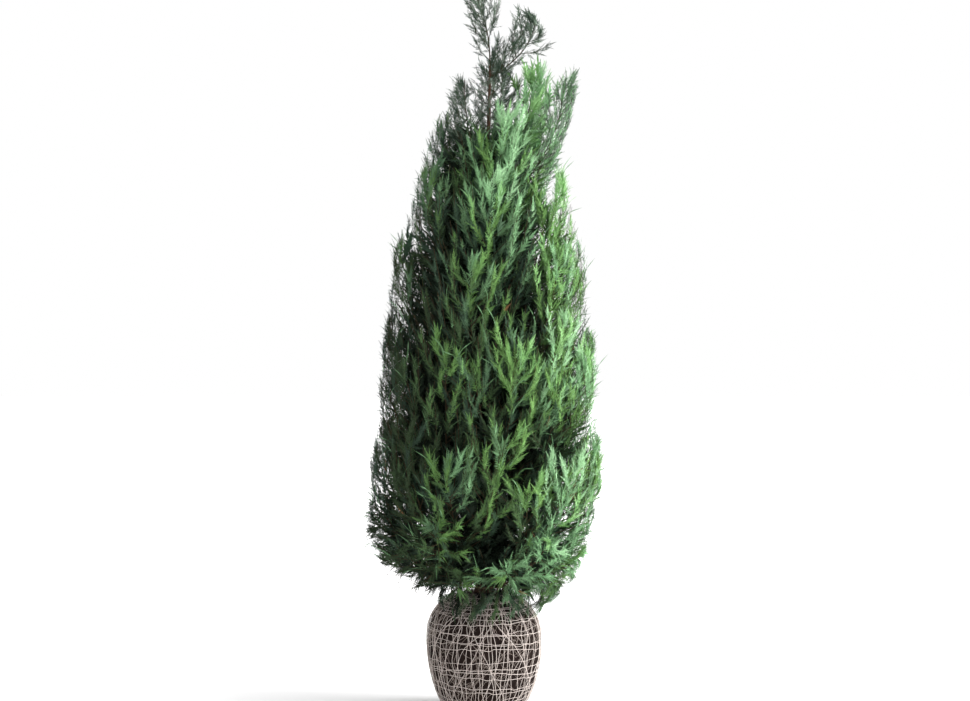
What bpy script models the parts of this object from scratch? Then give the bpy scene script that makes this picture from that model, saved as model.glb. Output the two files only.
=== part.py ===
"""A Lawson cypress on its root ball, which is wrapped in an open jute net.

Metres, +Z up. The origin is the centre of the root ball's flat underside. The plant is first
seen from -Y, with +X to the right. A turn is an angle about the trunk: 0 points to +X.

Each limb is one curve from the trunk to the tip of its plume of foliage. Where the limb enters
the foliage it is cut in two: a bough inside, and the stem of the foliage mass outside.
"""

import math
import random
from collections import namedtuple

import bmesh
import bpy
from mathutils import Vector
from mathutils.bvhtree import BVHTree

CLEARANCE = 0.0003  # between solids that meet
SEED = 16

# Root ball: an egg-shaped turned body, cut off flat at the ground
BALL_RADIUS = 0.165
BALL_WAIST = 0.195  # height of its widest ring
BALL_BELOW = 0.255  # half height of the ellipse under the waist
BALL_ABOVE = 0.148  # half height of the fuller curve over the waist
BALL_FULLNESS = 2.5  # exponent of that curve: 2 is an ellipse
BALL_SIDES = 18
BALL_RINGS_BELOW = 3
BALL_RINGS_ABOVE = 4
BALL_TOP_RADIUS = 0.046  # flat patch that the trunk stands on
BALL_LUMP = 0.012  # share of the radius

# Net round the root ball
NET_STRING = 0.0042  # thickness of a strand
NET_LIFT = 0.0028  # its middle, out from the ball's skin
NET_FOOT = 0.007  # lowest hoop above the ground

# Trunk
TRUNK_TOP = 1.865
TRUNK_FOOT_RADIUS = 0.0185
TRUNK_TIP_RADIUS = 0.0032
FLARE_RADIUS = 0.012  # added at the foot
FLARE_HEIGHT = 0.022
TRUNK_LEAN = 0.016  # towards +X at the top
TRUNK_WOBBLE = 0.004
TRUNK_SIDES = 10
TRUNK_RINGS = 12

# Limbs
BOUGH_SIDES = 5
BOUGH_RINGS = 4
LIMB_RADIUS_PER_METRE = 0.016  # at the trunk, for each metre of limb
STEM_RADIUS = 0.0034  # where a limb enters its foliage
STEM_TIP_RADIUS = 0.0012
CORE_SIDES = 6
CORE_SHARE = 0.75  # of the plume's half width
CORE_HOLLOW = 0.65  # between its ridges, as a share of the ridges' radius

# Foliage
TOP_TWIGS = 2  # in a single plume at the top
TWIG_RADIUS = 0.0026
TWIG_OUT = 0.55  # of the plume's half width
TWIG_UP = 0.85
GOLDEN_TURN = math.radians(137.5)
SPRAY_LENGTH = 1.3  # of the plume's half width
# Where a twig's sprays grow, and the sideways leans that are tried for each
SPRAY_LEANS = ((0.86, (0.1, -0.4, 0.5)), (0.6, (-0.75, -0.3)), (0.75, (0.85, 0.4)))
SPRAY_HALF_WIDTH = 0.3  # of the spray's length
SPRAY_THICKNESS = 0.03  # of the spray's length
SPRAY_MIDDLE = 0.45  # where its crest stands, along its length
# One side of a toothed spray: share of the length, share of the half width
SPRAY_TEETH = ((0.4, 1.0), (0.52, 0.45), (0.74, 0.7))

# A tier of plumes round the trunk: how many, the turn of the first in degrees, the height where
# its limbs leave the trunk, the bend's radius and height, the tips' height and how much lower
# they hang towards +X, the plumes' half width, how many twigs each has, and the share of the limb
# that is bare bough. Tips end at the crown's outline.
Tier = namedtuple(
    "Tier", "name count first leave bend_radius bend_height tip sag width twigs bare"
)
TIERS = (
    Tier("skirt", 6, -12, 0.405, 0.18, 0.365, 0.500, 0.03, 0.118, 5, 0.19),
    Tier("low", 6, 15, 0.450, 0.24, 0.450, 0.740, 0.0, 0.147, 6, 0.15),
    Tier("middle", 6, -20, 0.600, 0.21, 0.640, 1.040, 0.0, 0.142, 4, 0.13),
    Tier("high", 6, 15, 0.840, 0.20, 0.920, 1.330, 0.0, 0.137, 4, 0.0),
    Tier("shoulder", 5, 62, 1.080, 0.16, 1.180, 1.560, 0.0, 0.118, 3, 0.0),
    Tier("upper", 3, 40, 1.320, 0.12, 1.420, 1.720, 0.0, 0.100, 3, 0.0),
)
TIP_RAGGED = 0.04  # tips stand this much higher or lower than their tier's

# Half width of the crown seen from the front, at heights from the skirt to the top
CROWN_OUTLINE = (
    (0.28, 0.182),
    (0.40, 0.313),
    (0.50, 0.343),
    (0.74, 0.343),
    (1.05, 0.313),
    (1.35, 0.283),
    (1.60, 0.217),
    (1.80, 0.152),
    (2.06, 0.040),
)
CROWN_FRINGE = 0.03  # sprays may stand this far outside the outline
# How far the crown's middle lies to +X, at heights
CROWN_SHIFT = (
    (0.50, -0.015),
    (0.75, 0.012),
    (1.60, 0.022),
    (1.82, 0.080),
    (2.00, 0.040),
    (2.06, -0.020),
)

# Single plumes at the top: turn in degrees, leaving height, tip radius, tip height, half width
Plume = namedtuple("Plume", "name turn leave tip_radius tip width")
PLUMES = (
    Plume("outer", -12, 1.42, 0.230, 1.820, 0.075),
    Plume("inner", 15, 1.52, 0.140, 1.850, 0.075),
    Plume("left", 200, 1.50, 0.070, 1.820, 0.070),
    Plume("back", 60, 1.62, 0.085, 1.880, 0.065),
    Plume("tuft", -20, 1.83, 0.140, 1.990, 0.060),
)
LEADER_TIP = Vector((-0.024, 0.0, 2.068))
LEADER_WIDTH = 0.060


def clear_scene():
    for item in list(bpy.data.objects):
        bpy.data.objects.remove(item, do_unlink=True)


def material(name, colour, roughness):
    made = bpy.data.materials.new(name)
    made.use_nodes = True
    shader = made.node_tree.nodes["Principled BSDF"]
    shader.inputs["Base Color"].default_value = (*colour, 1.0)
    shader.inputs["Roughness"].default_value = roughness
    shader.inputs["Metallic"].default_value = 0.0
    return made


def object_from(name, mesh, finish):
    """A new object that holds a bmesh, which is used up."""
    bmesh.ops.recalc_face_normals(mesh, faces=mesh.faces)
    data = bpy.data.meshes.new(name)
    mesh.to_mesh(data)
    mesh.free()
    data.materials.append(finish)
    made = bpy.data.objects.new(name, data)
    bpy.context.scene.collection.objects.link(made)
    return made


def between(table, where):
    """The value at a place in a table of (place, value), eased between its rows."""
    if where <= table[0][0]:
        return table[0][1]
    for (low, first), (high, last) in zip(table, table[1:]):
        if where <= high:
            share = (where - low) / (high - low)
            return first + (last - first) * share * share * (3 - 2 * share)
    return table[-1][1]


def outward(turn):
    return Vector((math.cos(turn), math.sin(turn), 0.0))


# Root ball and net


def ball_rings():
    """The (radius, height) of each ring of the root ball, from its foot to its flat top."""
    foot_angle = math.asin(BALL_WAIST / BALL_BELOW)
    rings = []
    for k in range(BALL_RINGS_BELOW):
        angle = foot_angle * (1 - k / BALL_RINGS_BELOW)
        rings.append((BALL_RADIUS * math.cos(angle), BALL_WAIST - BALL_BELOW * math.sin(angle)))
    power = 2 / BALL_FULLNESS
    top_angle = math.acos((BALL_TOP_RADIUS / BALL_RADIUS) ** (1 / power))
    for k in range(BALL_RINGS_ABOVE + 1):
        angle = top_angle * k / BALL_RINGS_ABOVE
        radius = BALL_RADIUS * math.cos(angle) ** power
        rings.append((radius, BALL_WAIST + BALL_ABOVE * math.sin(angle) ** power))
    return rings


def ball_point(turn, radius, height):
    """A point on the root ball, with its slow lumps."""
    lump = math.sin(3 * turn + 0.8 + 9 * height) + 0.7 * math.sin(2 * turn - 14 * height)
    return outward(turn) * radius * (1 + BALL_LUMP * lump) + Vector((0, 0, height))


def turned_skin(rings, sides, offset=0.0):
    """A bmesh of quads through rings of (radius, height), moved out by an offset."""
    mesh = bmesh.new()
    rows = []
    for k, (radius, height) in enumerate(rings):
        below = rings[max(k - 1, 0)]
        above = rings[min(k + 1, len(rings) - 1)]
        slope = Vector((above[1] - below[1], below[0] - above[0])).normalized()
        radius, height = radius + offset * slope.x, height + offset * slope.y
        turns = [2 * math.pi * side / sides for side in range(sides)]
        rows.append([mesh.verts.new(ball_point(turn, radius, height)) for turn in turns])
    for lower, upper in zip(rows, rows[1:]):
        for side in range(sides):
            after = (side + 1) % sides
            mesh.faces.new((lower[side], lower[after], upper[after], upper[side]))
    return mesh, rows


def build_ball(finish):
    mesh, rows = turned_skin(ball_rings(), BALL_SIDES)
    mesh.faces.new(rows[0])
    mesh.faces.new(rows[-1])
    made = object_from("root_ball", mesh, finish)
    made.data.shade_smooth()
    made.data.set_sharp_from_angle(angle=math.radians(50))
    return made


def build_net(finish):
    """The net's strands: the edges of a skin just outside the root ball, given thickness."""
    rings = ball_rings()
    foot, above = Vector(rings[0]), Vector(rings[1])
    rings[0] = foot.lerp(above, NET_FOOT / above.y)
    mesh, _ = turned_skin(rings, BALL_SIDES, NET_LIFT)
    made = object_from("root_ball_net", mesh, finish)
    strands = made.modifiers.new("strands", "WIREFRAME")
    strands.thickness = NET_STRING
    strands.use_even_offset = False
    strands.use_boundary = True
    strands.use_replace = True
    return made


# Trunk


def trunk_foot():
    return ball_rings()[-1][1] + CLEARANCE


def trunk_centre(height):
    """The trunk's centre at a height: a slow lean to +X, with a slight wobble."""
    share = (height - trunk_foot()) / (TRUNK_TOP - trunk_foot())
    swing = math.sin(2.2 * math.pi * share)
    x = TRUNK_LEAN * share * share * (3 - 2 * share) + TRUNK_WOBBLE * swing
    return Vector((x, TRUNK_WOBBLE * math.sin(1.4 * math.pi * share), height))


def trunk_radius(height):
    share = (height - trunk_foot()) / (TRUNK_TOP - trunk_foot())
    taper = TRUNK_TIP_RADIUS + (TRUNK_FOOT_RADIUS - TRUNK_TIP_RADIUS) * (1 - share) ** 0.9
    return taper + FLARE_RADIUS * math.exp(-(height - trunk_foot()) / FLARE_HEIGHT)


def tube(points, radii, sides, level=False):
    """A bmesh of a closed tube with a ring at each point, and flat ends.

    A ring has one radius, or a list with one for each side. The rings are square to the tube's
    run, or all level.
    """
    mesh = bmesh.new()
    side = Vector((1, 0, 0)) if level else (points[1] - points[0]).orthogonal().normalized()
    rows = []
    for k, (point, radius) in enumerate(zip(points, radii)):
        run = points[min(k + 1, len(points) - 1)] - points[max(k - 1, 0)]
        along = Vector((0, 0, 1)) if level else run.normalized()
        side = (side - along * side.dot(along)).normalized()
        other = along.cross(side)
        reach = radius if isinstance(radius, list) else [radius] * sides
        angles = [2 * math.pi * n / sides for n in range(sides)]
        arms = [math.cos(a) * side + math.sin(a) * other for a in angles]
        rows.append([mesh.verts.new(point + r * arm) for r, arm in zip(reach, arms)])
    for lower, upper in zip(rows, rows[1:]):
        for n in range(sides):
            after = (n + 1) % sides
            mesh.faces.new((lower[n], lower[after], upper[after], upper[n]))
    mesh.faces.new(rows[0])
    mesh.faces.new(rows[-1])
    return mesh


def trunk_mesh(grown=0.0):
    """The trunk's tube. Its rings stand closer together at the flare."""
    foot, top = trunk_foot(), TRUNK_TOP
    shares = [(k / TRUNK_RINGS) ** 1.7 for k in range(TRUNK_RINGS + 1)]
    heights = [foot + (top - foot) * share for share in shares]
    radii = [trunk_radius(height) + grown for height in heights]
    return tube([trunk_centre(height) for height in heights], radii, TRUNK_SIDES, level=True)


def build_trunk(finish):
    made = object_from("trunk", trunk_mesh(), finish)
    made.data.shade_smooth()
    made.data.set_sharp_from_angle(angle=math.radians(50))
    return made


# Limbs


class Limb:
    """One limb: a curve from the trunk to its plume's tip, bare up to where the plume begins."""

    def __init__(self, name, start, bend, tip, width, twigs=TOP_TWIGS, bare=0.0):
        self.name, self.start, self.bend, self.tip = name, start, bend, tip
        self.width, self.twigs, self.bare = width, twigs, bare
        self.run = [self.at(k / 16) for k in range(17)]
        self.length = sum((b - a).length for a, b in zip(self.run, self.run[1:]))

    def at(self, share):
        left = 1 - share
        return left * left * self.start + 2 * left * share * self.bend + share * share * self.tip

    def along(self, share):
        return ((1 - share) * (self.bend - self.start) + share * (self.tip - self.bend)).normalized()

    def in_plume(self, share):
        """The share of the whole curve for a share of the plume."""
        return self.bare + (1 - self.bare) * share

    def half_width(self, share):
        """The plume's half width at a share of the plume: full low down, pointed at the tip."""
        return self.width * math.sin(math.pi * (0.15 + 0.83 * share) ** 0.8) ** 0.8


def crown_radius(height):
    return between(CROWN_OUTLINE, height)


def crown_centre(height):
    return Vector((between(CROWN_SHIFT, height), 0, height))


def tier_limbs(rng):
    limbs = []
    for tier in TIERS:
        for k in range(tier.count):
            turn = math.radians(tier.first) + 2 * math.pi * (k + rng.uniform(-0.1, 0.1)) / tier.count
            ragged = rng.uniform(-TIP_RAGGED, TIP_RAGGED)
            start = trunk_centre(tier.leave + 0.6 * ragged)
            bend = start + outward(turn) * tier.bend_radius
            sag = tier.sag * math.cos(turn)
            bend.z = tier.bend_height + ragged - 0.5 * sag
            tip_height = tier.tip + ragged - sag
            tip = crown_centre(tip_height) + outward(turn) * crown_radius(tip_height)
            name = f"{tier.name}_{k + 1}"
            limbs.append(Limb(name, start, bend, tip, tier.width, tier.twigs, tier.bare))
    return limbs


def top_limbs():
    limbs = []
    for plume in PLUMES:
        turn = math.radians(plume.turn)
        start = trunk_centre(plume.leave)
        tip = trunk_centre(plume.leave) + outward(turn) * plume.tip_radius
        tip.z = plume.tip
        bend = start + outward(turn) * plume.tip_radius * 0.95
        bend.z = plume.leave + 0.4 * (plume.tip - plume.leave)
        limbs.append(Limb(plume.name, start, bend, tip, plume.width))
    return limbs


def leader_limb():
    """The trunk's tip goes on as the leader's stem."""
    start = trunk_centre(TRUNK_TOP) + Vector((0, 0, CLEARANCE))
    bend = start + Vector((0, 0, 0.12))
    return Limb("leader", start, bend, LEADER_TIP, LEADER_WIDTH)


def cut_by(made, cutter):
    """Cuts an object by another, and applies the cut."""
    cut = made.modifiers.new("cut", "BOOLEAN")
    cut.operation = "DIFFERENCE"
    cut.solver = "EXACT"
    cut.object = cutter
    apply_modifiers(made)


def apply_modifiers(made):
    bpy.context.view_layer.update()
    graph = bpy.context.evaluated_depsgraph_get()
    data = bpy.data.meshes.new_from_object(made.evaluated_get(graph))
    made.modifiers.clear()
    made.data = data


def keep_main_body(made):
    """Fills hollows that fusing has sealed and drops loose scrap: only the main skin stays."""
    mesh = bmesh.new()
    mesh.from_mesh(made.data)
    unseen = set(mesh.verts)
    skins = []
    while unseen:
        skin, edge = set(), {unseen.pop()}
        while edge:
            skin |= edge
            edge = {link.other_vert(vert) for vert in edge for link in vert.link_edges} - skin
        unseen -= skin
        skins.append(skin)
    skins.sort(key=skin_extent)
    scrap = [vert for skin in skins[:-1] for vert in skin]
    bmesh.ops.delete(mesh, geom=scrap, context="VERTS")
    mesh.to_mesh(made.data)
    mesh.free()


def skin_extent(skin):
    heights = [vert.co.z for vert in skin]
    return max(heights) - min(heights)


def build_bough(limb, finish, trunk_cutter):
    end = limb.bare - CLEARANCE / limb.length
    shares = [end * k / BOUGH_RINGS for k in range(BOUGH_RINGS + 1)]
    root = STEM_RADIUS + LIMB_RADIUS_PER_METRE * limb.length * 0.6
    radii = [root + (STEM_RADIUS - root) * share / limb.bare for share in shares]
    mesh = tube([limb.at(share) for share in shares], radii, BOUGH_SIDES)
    made = object_from("bough_" + limb.name, mesh, finish)
    cut_by(made, trunk_cutter)
    return made


# Foliage


def spray(base, tip, flat):
    """A bmesh of one toothed spray with a flat back. flat is a direction in its plane."""
    length = (tip - base).length
    along = (tip - base) / length
    across = (flat - along * flat.dot(along)).normalized()
    lift = along.cross(across) * (SPRAY_THICKNESS * length)
    half_width = SPRAY_HALF_WIDTH * length
    right = [base + along * length * s + across * half_width * w for s, w in SPRAY_TEETH]
    left = [base + along * length * s - across * half_width * w for s, w in SPRAY_TEETH]
    mesh = bmesh.new()
    rim = [mesh.verts.new(point) for point in [base, *right, tip, *reversed(left)]]
    crest = mesh.verts.new(base + along * length * SPRAY_MIDDLE + lift)
    for here, after in zip(rim, rim[1:] + rim[:1]):
        mesh.faces.new((here, after, crest))
    mesh.faces.new(reversed(rim))
    return mesh


def tree_of(mesh):
    return BVHTree.FromBMesh(mesh)


def has_room(mesh, limb, limbs, solids):
    """True if a piece keeps to its limb's own space and touches no other solid."""
    for vert in mesh.verts:
        own = room_left(vert.co, limb)
        if any(room_left(vert.co, other) > own for other in limbs if other is not limb):
            return False
        if (vert.co - crown_centre(vert.co.z)).length > crown_radius(vert.co.z) + CROWN_FRINGE:
            return False
    tree = tree_of(mesh)
    return not any(tree.overlap(solid) for solid in solids)


def room_left(point, limb):
    """How deep a point lies in a plume, as a share of its half width: 1 on its stem, 0 at its edge."""
    best = -9.0
    for share, place, width in limb.marks:
        best = max(best, 1 - (point - place).length / width)
    return best


def mark(limb):
    """Notes places along a plume, for measuring distances to it."""
    shares = [k / 10 for k in range(11)]
    least = 0.35 * limb.width
    limb.marks = [
        (share, limb.at(limb.in_plume(share)), max(limb.half_width(share), least))
        for share in shares
    ]


def free_radius(limb, point, limbs):
    """Half the way from a point on a limb to the nearest other limb."""
    others = [place for other in limbs if other is not limb for place in other.run]
    return min((point - place).length for place in others) / 2


def core_mesh(limb, limbs):
    """The stem and the dense, ridged core round it, as one tube."""
    shares = (0.0, 0.05, 0.17, 0.45, 0.75, 1.0)
    swell = (0.0, 0.0, 1.0, 1.0, 0.95, 0.0)
    points = [limb.at(limb.in_plume(share)) for share in shares]
    radii = []
    for ring, (point, share, swollen) in enumerate(zip(points, shares, swell)):
        stem = STEM_RADIUS + (STEM_TIP_RADIUS - STEM_RADIUS) * share
        ridge = swollen * min(CORE_SHARE * limb.half_width(share), free_radius(limb, point, limbs))
        hollow = ridge * CORE_HOLLOW
        radii.append([max(stem, ridge if (ring + n) % 2 else hollow) for n in range(CORE_SIDES)])
    return tube(points, radii, CORE_SIDES)


def twig_pieces(limb, roomy, rng):
    """Bmeshes of the twigs and sprays that stand out of a plume's core, in growing order.

    A spray that has no room is tried at other leans, and then left out with its twig.
    """
    roll = rng.uniform(0, 2 * math.pi)
    for k in range(limb.twigs):
        share = 0.08 + 0.62 * (k + rng.uniform(-0.1, 0.2)) / (limb.twigs - 1)
        here, along = limb.at(limb.in_plume(share)), limb.along(limb.in_plume(share))
        side = along.orthogonal().normalized()
        roll += GOLDEN_TURN
        out = math.cos(roll) * side + math.sin(roll) * along.cross(side)
        reach = limb.half_width(share)
        twig_tip = here + out * reach * TWIG_OUT + along * reach * TWIG_UP
        twig = tube([here, twig_tip], [TWIG_RADIUS, TWIG_RADIUS * 0.6], 3)
        if not roomy(twig):
            twig.free()
            continue
        yield twig
        spread = along.cross(out)
        for place, leans in SPRAY_LEANS:
            root = here.lerp(twig_tip, place)
            for lean in leans:
                aim = (along + out * 0.2 + spread * lean).normalized()
                piece = spray(root, root + aim * reach * SPRAY_LENGTH, spread + out * rng.uniform(-1, 1))
                if roomy(piece):
                    yield piece
                    break
                piece.free()
    top = limb.at(limb.in_plume(0.8))
    yield spray(top, limb.tip, limb.along(0.9).orthogonal())


def build_mass(limb, limbs, solids, rng, finish, trunk_cutter):
    """One foliage mass: its core, with the twigs and sprays that have room fused on."""
    made = object_from("foliage_" + limb.name, core_mesh(limb, limbs), finish)
    if not limb.bare and limb.name != "leader":
        cut_by(made, trunk_cutter)
    parts = bpy.data.collections.new("sprays of " + limb.name)
    bpy.context.scene.collection.children.link(parts)
    for mesh in twig_pieces(limb, lambda piece: has_room(piece, limb, limbs, solids), rng):
        piece = object_from("piece", mesh, finish)
        bpy.context.scene.collection.objects.unlink(piece)
        parts.objects.link(piece)
    join = made.modifiers.new("join", "BOOLEAN")
    join.operation = "UNION"
    join.solver = "MANIFOLD"
    join.operand_type = "COLLECTION"
    join.collection = parts
    apply_modifiers(made)
    for piece in list(parts.objects):
        bpy.data.objects.remove(piece, do_unlink=True)
    bpy.data.collections.remove(parts)
    keep_main_body(made)
    return made


def solid_tree(made):
    graph = bpy.context.evaluated_depsgraph_get()
    return BVHTree.FromObject(made, graph)


def main():
    clear_scene()
    rng = random.Random(SEED)
    bark = material("bark", (0.16, 0.10, 0.07), 0.9)
    green = material("foliage", (0.09, 0.20, 0.07), 0.7)
    soil = material("soil", (0.035, 0.025, 0.02), 0.95)
    jute = material("jute", (0.48, 0.42, 0.37), 0.9)

    limbs = tier_limbs(rng) + top_limbs() + [leader_limb()]
    for limb in limbs:
        mark(limb)
    made = [build_ball(soil), build_net(jute), build_trunk(bark)]
    trunk_cutter = object_from("trunk_cutter", trunk_mesh(CLEARANCE), bark)
    trunk_cutter.hide_render = True
    trunk_cutter.display_type = "WIRE"
    made += [build_bough(limb, bark, trunk_cutter) for limb in limbs if limb.bare]
    bpy.context.view_layer.update()
    solids = [solid_tree(item) for item in made]
    for limb in limbs:
        mass = build_mass(limb, limbs, solids, rng, green, trunk_cutter)
        bpy.context.view_layer.update()
        solids.append(solid_tree(mass))
        made.append(mass)
    bpy.data.objects.remove(trunk_cutter, do_unlink=True)


main()
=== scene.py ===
"""Looks for the root-balled Lawson cypress: fine sprays, twigs, bark, soil and string net.

Metres, +Z up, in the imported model's frame. The camera looks along +Y, with +X to the right. A
turn is an angle about the trunk: 0 points to +X. The limbs are laid out by the same rule and
seed as the solids, in a slightly narrower crown, and carry many more and finer twigs and sprays
in the same space.
"""

import math
import random
from collections import namedtuple

import bpy
import numpy as np
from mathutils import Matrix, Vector


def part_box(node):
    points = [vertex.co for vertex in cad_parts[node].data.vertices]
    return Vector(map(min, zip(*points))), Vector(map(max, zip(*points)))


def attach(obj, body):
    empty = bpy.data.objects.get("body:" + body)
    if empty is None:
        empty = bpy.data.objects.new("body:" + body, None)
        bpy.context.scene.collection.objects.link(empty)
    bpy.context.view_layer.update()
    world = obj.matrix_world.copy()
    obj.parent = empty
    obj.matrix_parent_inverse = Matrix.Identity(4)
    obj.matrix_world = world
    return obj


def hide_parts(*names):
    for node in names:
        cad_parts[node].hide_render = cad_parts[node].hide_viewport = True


SEED = 16  # the solids' seed, for the same limbs
SPRAY_SEED = 39
FROND_SEED = 4
NET_SEED = 23
SOIL_SEED = 5
BARK_SEED = 3
ANY_PHASE = (0, 6.3)
MOST_TRIANGLES = 190000  # in one piece
TINY = 1e-9  # added to lengths that are divided by

# Camera: level, as far off as keeps the photo's flat perspective
CAMERA_PLACE = (0.004, -4.5, 1.04)
CAMERA_LENS = 57.6
CAMERA_SENSOR = 36.0

# Studio
FLOOR_REACH = 30.0
FLOOR_COLOUR = (0.86, 0.86, 0.86)
FLOOR_ROUGHNESS = 0.9
SKY_STRENGTH = 1.0
KEY_STRENGTH = 8.0
KEY_SOFTNESS = math.radians(50)
KEY_AIM = Vector((-0.84, 0.18, -0.51))

# Mottled materials: from dark to light by a grain with its own fineness, depth and stretch
Mottle = namedtuple("Mottle", "dark light roughness fineness depth stretch", defaults=[(1, 1, 1)])
MOTTLES = {
    "moist soil": Mottle((0.004, 0.0022, 0.0018), (0.017, 0.010, 0.008), 0.95, 60, 0.004),
    "pale string": Mottle((0.30, 0.25, 0.225), (0.70, 0.63, 0.585), 0.9, 160, 0.001),
    # painted shade: the threads under the strings are a darker, slightly browner copy of the
    # string's colour
    "shaded thread": Mottle((0.13, 0.10, 0.085), (0.34, 0.29, 0.26), 0.9, 120, 0.001),
    "bark": Mottle((0.030, 0.017, 0.012), (0.095, 0.054, 0.038), 0.85, 90, 0.002, (1, 1, 0.15)),
    "twig": Mottle((0.020, 0.016, 0.009), (0.060, 0.042, 0.022), 0.8, 120, 0.001),
}
GRAIN_DETAIL = 6
GRAIN_STRENGTH = 0.6
SHEEN = 0.1
GREEN_ROUGHNESS = 0.6

# Root ball, as in the solids, with crumbs in relief
BALL_RADIUS = 0.165
BALL_WAIST = 0.195
BALL_BELOW = 0.255
BALL_ABOVE = 0.148
BALL_FULLNESS = 2.5
BALL_TOP_RADIUS = 0.046
BALL_LUMP = 0.012
WAIST_SHARE = 0.45  # of the way from the ball's foot to its top
PROFILE_STEP = 0.01
SOIL_AROUND = 128
SOIL_UP = 64
SOIL_WAVES = 7
SOIL_RELIEF = 0.0035
LEAST_HEIGHT = 0.002  # of strings and soil above the ground

# Net: uprights and slants, hoops over them, and finer short threads under both. A sway is the
# size of a smooth wave, in radians, and its least and most waves. A layer is counted in radii.
STRING_RADIUS = 0.00068
STRING_UNEVENNESS = (0.75, 1.15)
STRING_LIFT = 0.0012
STRING_SIDES = 4
STRING_STEPS = 30
UPRIGHTS = 76
UPRIGHT_DRIFT = 0.2
UPRIGHT_SWAY = (0.022, (6, 38))
UPRIGHT_LAYERS = (0.9, 1.6)
SLANTS = 22
SLANT_DRIFTS = (0.7, 2.2)
SLANT_SWAY = (0.03, (6, 30))  # also of the threads
SLANT_LAYERS = (1.2, 2.2)
HOOPS = 25
HOOP_STEPS = 90
HOOP_START = 0.03
HOOP_RUN = 0.92
HOOP_TILTS = (0.005, 0.030)
HOOP_RIPPLE = 0.006
HOOP_SWAY = (0.006, (2, 2))
HOOP_LAYERS = (1.8, 2.6)
THREADS = 300
THREAD_RADIUS = 0.00055
THREAD_SIDES = 3
THREAD_DRIFTS = (0.15, 0.9)
THREAD_SPANS = (0.10, 0.40)
THREAD_LAYERS = (0.3, 1.4)
THREAD_CROWDING = 0.4  # of threads and slants towards the ball's left side

# Trunk, as in the solids, with ridges in relief
TRUNK_FOOT_RADIUS = 0.0185
TRUNK_TIP_RADIUS = 0.0032
TRUNK_TAPER = 0.9
FLARE_RADIUS = 0.012
FLARE_HEIGHT = 0.022
TRUNK_LEAN = 0.016
TRUNK_WOBBLE = 0.004
TRUNK_SWINGS = (2.2 * math.pi, 1.4 * math.pi)  # of the wobble along X and along Y
TRUNK_STEPS = 260
TRUNK_SIDES = 24
BARK_WAVES = 9
BARK_RELIEF = 0.035  # of the trunk's radius

# Limbs
LIMB_STEPS = 16
LIMB_SIDES = 5
LIMB_RADIUS_PER_METRE = 0.0096
STEM_RADIUS = 0.0026
STEM_TIP_RADIUS = 0.0008
GOLDEN_TURN = math.radians(137.5)

# Tiers of plumes and their unevenness, as in the solids
Tier = namedtuple("Tier", "name count first leave bend_radius bend_height tip sag width bare")
TIERS = (
    Tier("skirt", 6, -12, 0.405, 0.18, 0.365, 0.500, 0.03, 0.118, 0.19),
    Tier("low", 6, 15, 0.450, 0.24, 0.450, 0.740, 0.0, 0.147, 0.15),
    Tier("middle", 6, -20, 0.600, 0.21, 0.640, 1.040, 0.0, 0.142, 0.13),
    Tier("high", 6, 15, 0.840, 0.20, 0.920, 1.330, 0.0, 0.137, 0.0),
    Tier("shoulder", 5, 62, 1.080, 0.16, 1.180, 1.560, 0.0, 0.118, 0.0),
    Tier("upper", 3, 40, 1.320, 0.12, 1.420, 1.720, 0.0, 0.100, 0.0),
)
TURN_RAGGED = 0.1  # of the turn from one limb of a tier to the next
TIP_RAGGED = 0.04
LEAVE_RAGGED = 0.6  # of the tip's unevenness

# The crown's radius by height, 2 to 4 cm inside the solids' up to the shoulder, how far sprays
# stand out of it, and its shift, as in the solids
CROWN_OUTLINE = (
    (0.28, 0.155),
    (0.40, 0.275),
    (0.50, 0.313),
    (0.74, 0.322),
    (1.05, 0.293),
    (1.35, 0.262),
    (1.60, 0.195),
    (1.80, 0.145),
    (2.06, 0.040),
)
CROWN_FRINGE = ((1.60, 0.020), (1.85, 0.070))
CROWN_SHIFT = (
    (0.50, -0.015),
    (0.75, 0.012),
    (1.60, 0.022),
    (1.82, 0.080),
    (2.00, 0.040),
    (2.06, -0.020),
)

# No spray hangs lower than the hem, which rises away from the middle, less so to front and back
SKIRT_HEM = 0.222
HEM_START = 0.06
HEM_RISE = 0.83
HEM_SHIFT = 0.03
HEM_FLATNESS = 0.45
BALL_CLEARANCE = 0.012
CLEAR_HEIGHT = 0.37  # over the root ball

# The leader and its neighbours have greys, and the outer plume at the top right pale greens
# painted shade: these greys are dark for the leader's backlit look
BACKLIT_GREYS = ("slate", "slate", "pine", "ash")
PALES = ("ash", "ash", "sage", "mint")

# Single plumes at the top, as in the solids but for a slimmer left one and leader
Plume = namedtuple("Plume", "name turn leave tip_radius tip width tone habit")
PLUMES = (
    Plume("outer", -12, 1.42, 0.230, 1.820, 0.075, 0.05, "veil"),
    Plume("inner", 15, 1.52, 0.140, 1.850, 0.075, 0.10, "top"),
    Plume("left", 200, 1.50, 0.070, 1.820, 0.052, -0.30, "wisp"),
    Plume("back", 60, 1.62, 0.085, 1.880, 0.065, 0.0, "wisp"),
    Plume("tuft", -20, 1.83, 0.140, 1.990, 0.060, 0.0, "wisp"),
)
PLUME_BEND_OUT = 0.95
PLUME_BEND_UP = 0.4
LEADER_TONE = 0.0
LEADER_BEND = 0.12
LEADER_TIP = Vector((-0.024, 0.0, 2.068))
LEADER_WIDTH = 0.046

# Side boughs, which only the looks have: each of the lower limbs forks twice, to either side
FORKED_TIERS = ("skirt", "low", "middle")
FORK_AT = 0.38
FORK_TURN = math.radians(27)
FORK_LIFT = 0.06
FORK_BEND_OUT = 0.6
FORK_BEND_UP = 0.25
FORK_WIDTH = 0.72  # of the limb's
FORK_BARE = 0.25

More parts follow.
